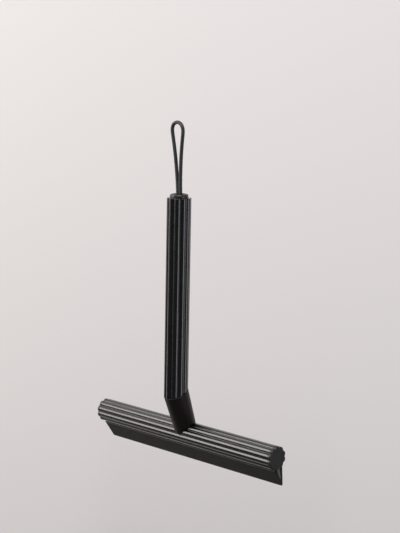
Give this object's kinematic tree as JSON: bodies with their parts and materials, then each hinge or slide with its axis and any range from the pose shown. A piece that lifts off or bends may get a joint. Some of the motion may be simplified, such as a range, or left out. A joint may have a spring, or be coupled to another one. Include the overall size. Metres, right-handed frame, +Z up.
{
  "type": "window squeegee",
  "caption": "Hand squeegee with a reeded tube handle, an angled neck, a reeded head bar with a rubber wedge blade, and a cord loop to hang it by.",
  "frame": {"origin": "top of the inside of the hanging loop, where a hook bears", "axes": "+Z up along the handle, +X along the bar to the right as seen from the handle's long side, +Y the way the head leans"},
  "size_m": [0.256, 0.041, 0.3547],
  "materials": {
    "reeded_aluminium": "extruded, satin black anodised",
    "moulded_caps": "moulded black ABS, fine texture",
    "seal_rubber": "nitrile rubber",
    "cord": "black braided polyester cord, satin",
    "inner_nylon": "moulded grey nylon",
    "brass_insert": "turned brass",
    "bright_steel": "zinc-plated steel",
    "spring_steel": "stainless steel",
    "cast_neck": "cast, matte black powder coat",
    "carrier_plastic": "extruded dark grey nylon",
    "blade_rubber": "extruded matte black silicone rubber"
  },
  "bodies": {
    "loop": {"hang_cord": "cord"},
    "knot": {"cord_knot": "cord"},
    "squeegee": {"handle_tube": "reeded_aluminium", "top_cap": "moulded_caps", "cap_o_ring": "seal_rubber", "bottom_plug": "inner_nylon", "threaded_insert": "brass_insert", "locating_pins": "bright_steel", "neck": "cast_neck", "neck_bolt": "bright_steel", "lock_washer": "spring_steel", "head_bar": "reeded_aluminium", "saddle_plate": "spring_steel", "bar_screws": "bright_steel", "screw_washers": "spring_steel", "blade_carrier": "carrier_plastic", "blade": "blade_rubber", "end_cap_left": "moulded_caps", "end_cap_right": "moulded_caps"}
  },
  "joints": [
    {"name": "loop_swing", "type": "hinge", "parent": "loop", "child": "knot", "pos_m": [0, 0.004, -0.0702], "axis": [1, 0, 0], "range_deg": [-60, 60]},
    {"name": "loop_twist", "type": "hinge", "parent": "knot", "child": "squeegee", "pos_m": [0, 0.004, -0.0702], "axis": [0, 0, 1], "range_deg": [-90, 90]}
  ]
}
